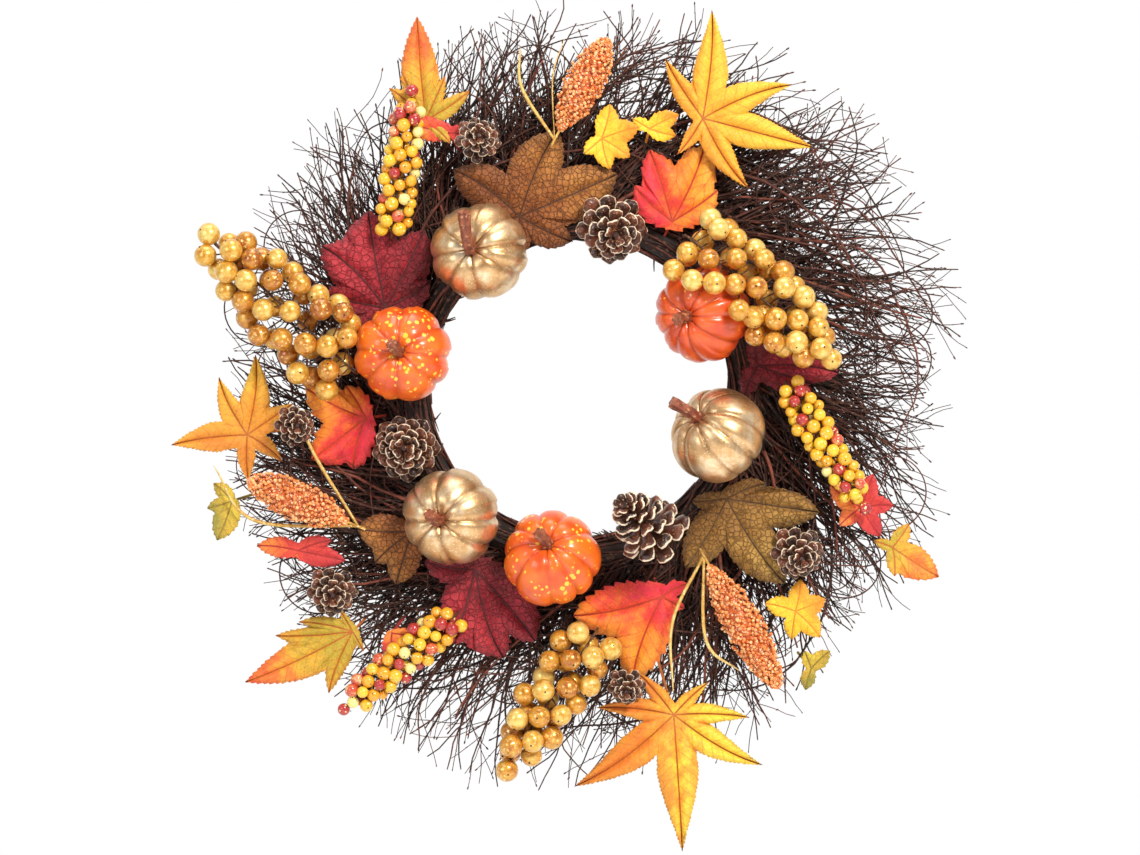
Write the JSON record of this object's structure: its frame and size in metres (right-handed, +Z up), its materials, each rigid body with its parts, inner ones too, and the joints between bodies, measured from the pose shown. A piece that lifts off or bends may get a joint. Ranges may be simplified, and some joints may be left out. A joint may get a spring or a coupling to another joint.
{
  "type": "door wreath",
  "caption": "Autumn door wreath: brushwood bound on a wire frame, dressed with pumpkins, pine cones, berries, seed heads and leaves, with a wire hanging loop.",
  "frame": {"origin": "the point where the hook bears, inside the top of the hanging loop", "axes": "+Z up, +X to the viewer's right, the decorated front faces -Y and the back that lies on the door faces +Y"},
  "size_m": [0.4933, 0.1025, 0.5215],
  "materials": {
    "dark_wire": "dark annealed wire",
    "brushwood": "dry bark on fine twigs",
    "gold_skin": "satin gold paint with glitter flecks on foam",
    "orange_skin": "gloss orange paint with yellow speckles on foam",
    "stalk": "brown painted stalk",
    "cone_scale": "varnished scales with glittered edges",
    "gold_berry": "gloss lacquer, mottled yellow over gold",
    "small_berry": "gloss lacquer, yellow, cream and red",
    "seed": "matt coated seed heads",
    "star_leaf": "printed polyester leaf cloth",
    "brown_leaf": "velvet-flocked leaf cloth, printed veins",
    "burgundy_leaf": "velvet-flocked leaf cloth",
    "sunset_leaf": "printed polyester leaf cloth, red to orange",
    "small_leaf": "printed polyester leaf cloth"
  },
  "bodies": {
    "wreath": {"wire_frame": "dark_wire", "binding_wire": "dark_wire", "twig_core": "brushwood", "twig_bundle_1": "brushwood", "twig_bundle_2": "brushwood", "twig_bundle_3": "brushwood", "twig_bundle_4": "brushwood", "twig_bundle_5": "brushwood", "twig_bundle_6": "brushwood", "twig_bundle_7": "brushwood", "twig_bundle_8": "brushwood", "pumpkin_gold_top": "gold_skin", "pumpkin_gold_left": "gold_skin", "pumpkin_gold_right": "gold_skin", "pumpkin_orange_left": "orange_skin", "pumpkin_orange_bottom": "orange_skin", "pumpkin_orange_right": "orange_skin", "stalk_gold_top": "stalk", "stalk_gold_left": "stalk", "stalk_gold_right": "stalk", "stalk_orange_left": "stalk", "stalk_orange_bottom": "stalk", "stalk_orange_right": "stalk", "pinecone_top": "cone_scale", "pinecone_left": "cone_scale", "pinecone_bottom": "cone_scale", "pinecone_right": "cone_scale", "pinecone_lower_left": "cone_scale", "pinecone_upper_left": "cone_scale", "pinecone_far_left": "cone_scale", "pinecone_low": "cone_scale", "berry_cluster_left": "gold_berry", "berry_cluster_right": "gold_berry", "berry_cluster_bottom": "gold_berry", "berry_spray_top": "small_berry", "berry_spray_right": "small_berry", "berry_spray_bottom": "small_berry", "seed_spike_top": "seed", "seed_spike_left": "seed", "seed_spike_bottom": "seed", "star_leaf_top": "star_leaf", "star_leaf_left": "star_leaf", "star_leaf_bottom": "star_leaf", "brown_leaf_top": "brown_leaf", "brown_leaf_right": "brown_leaf", "brown_leaf_left": "brown_leaf", "burgundy_leaf_left": "burgundy_leaf", "burgundy_leaf_right": "burgundy_leaf", "burgundy_leaf_bottom": "burgundy_leaf", "sunset_leaf_top": "sunset_leaf", "sunset_leaf_left": "sunset_leaf", "sunset_leaf_bottom": "sunset_leaf", "leaf_pick_top": "small_leaf", "leaf_pick_upper_left": "small_leaf", "leaf_pick_right": "small_leaf", "leaf_pick_low_right": "small_leaf", "leaf_pick_low_left": "small_leaf", "leaf_pick_left": "small_leaf"},
    "loop": {"hanging_loop": "dark_wire"}
  },
  "joints": [
    {"name": "loop_swing", "type": "hinge", "parent": "wreath", "child": "loop", "pos_m": [0, 0, -0.028], "axis": [-1, 0, 0], "range_deg": [-10, 160]}
  ]
}
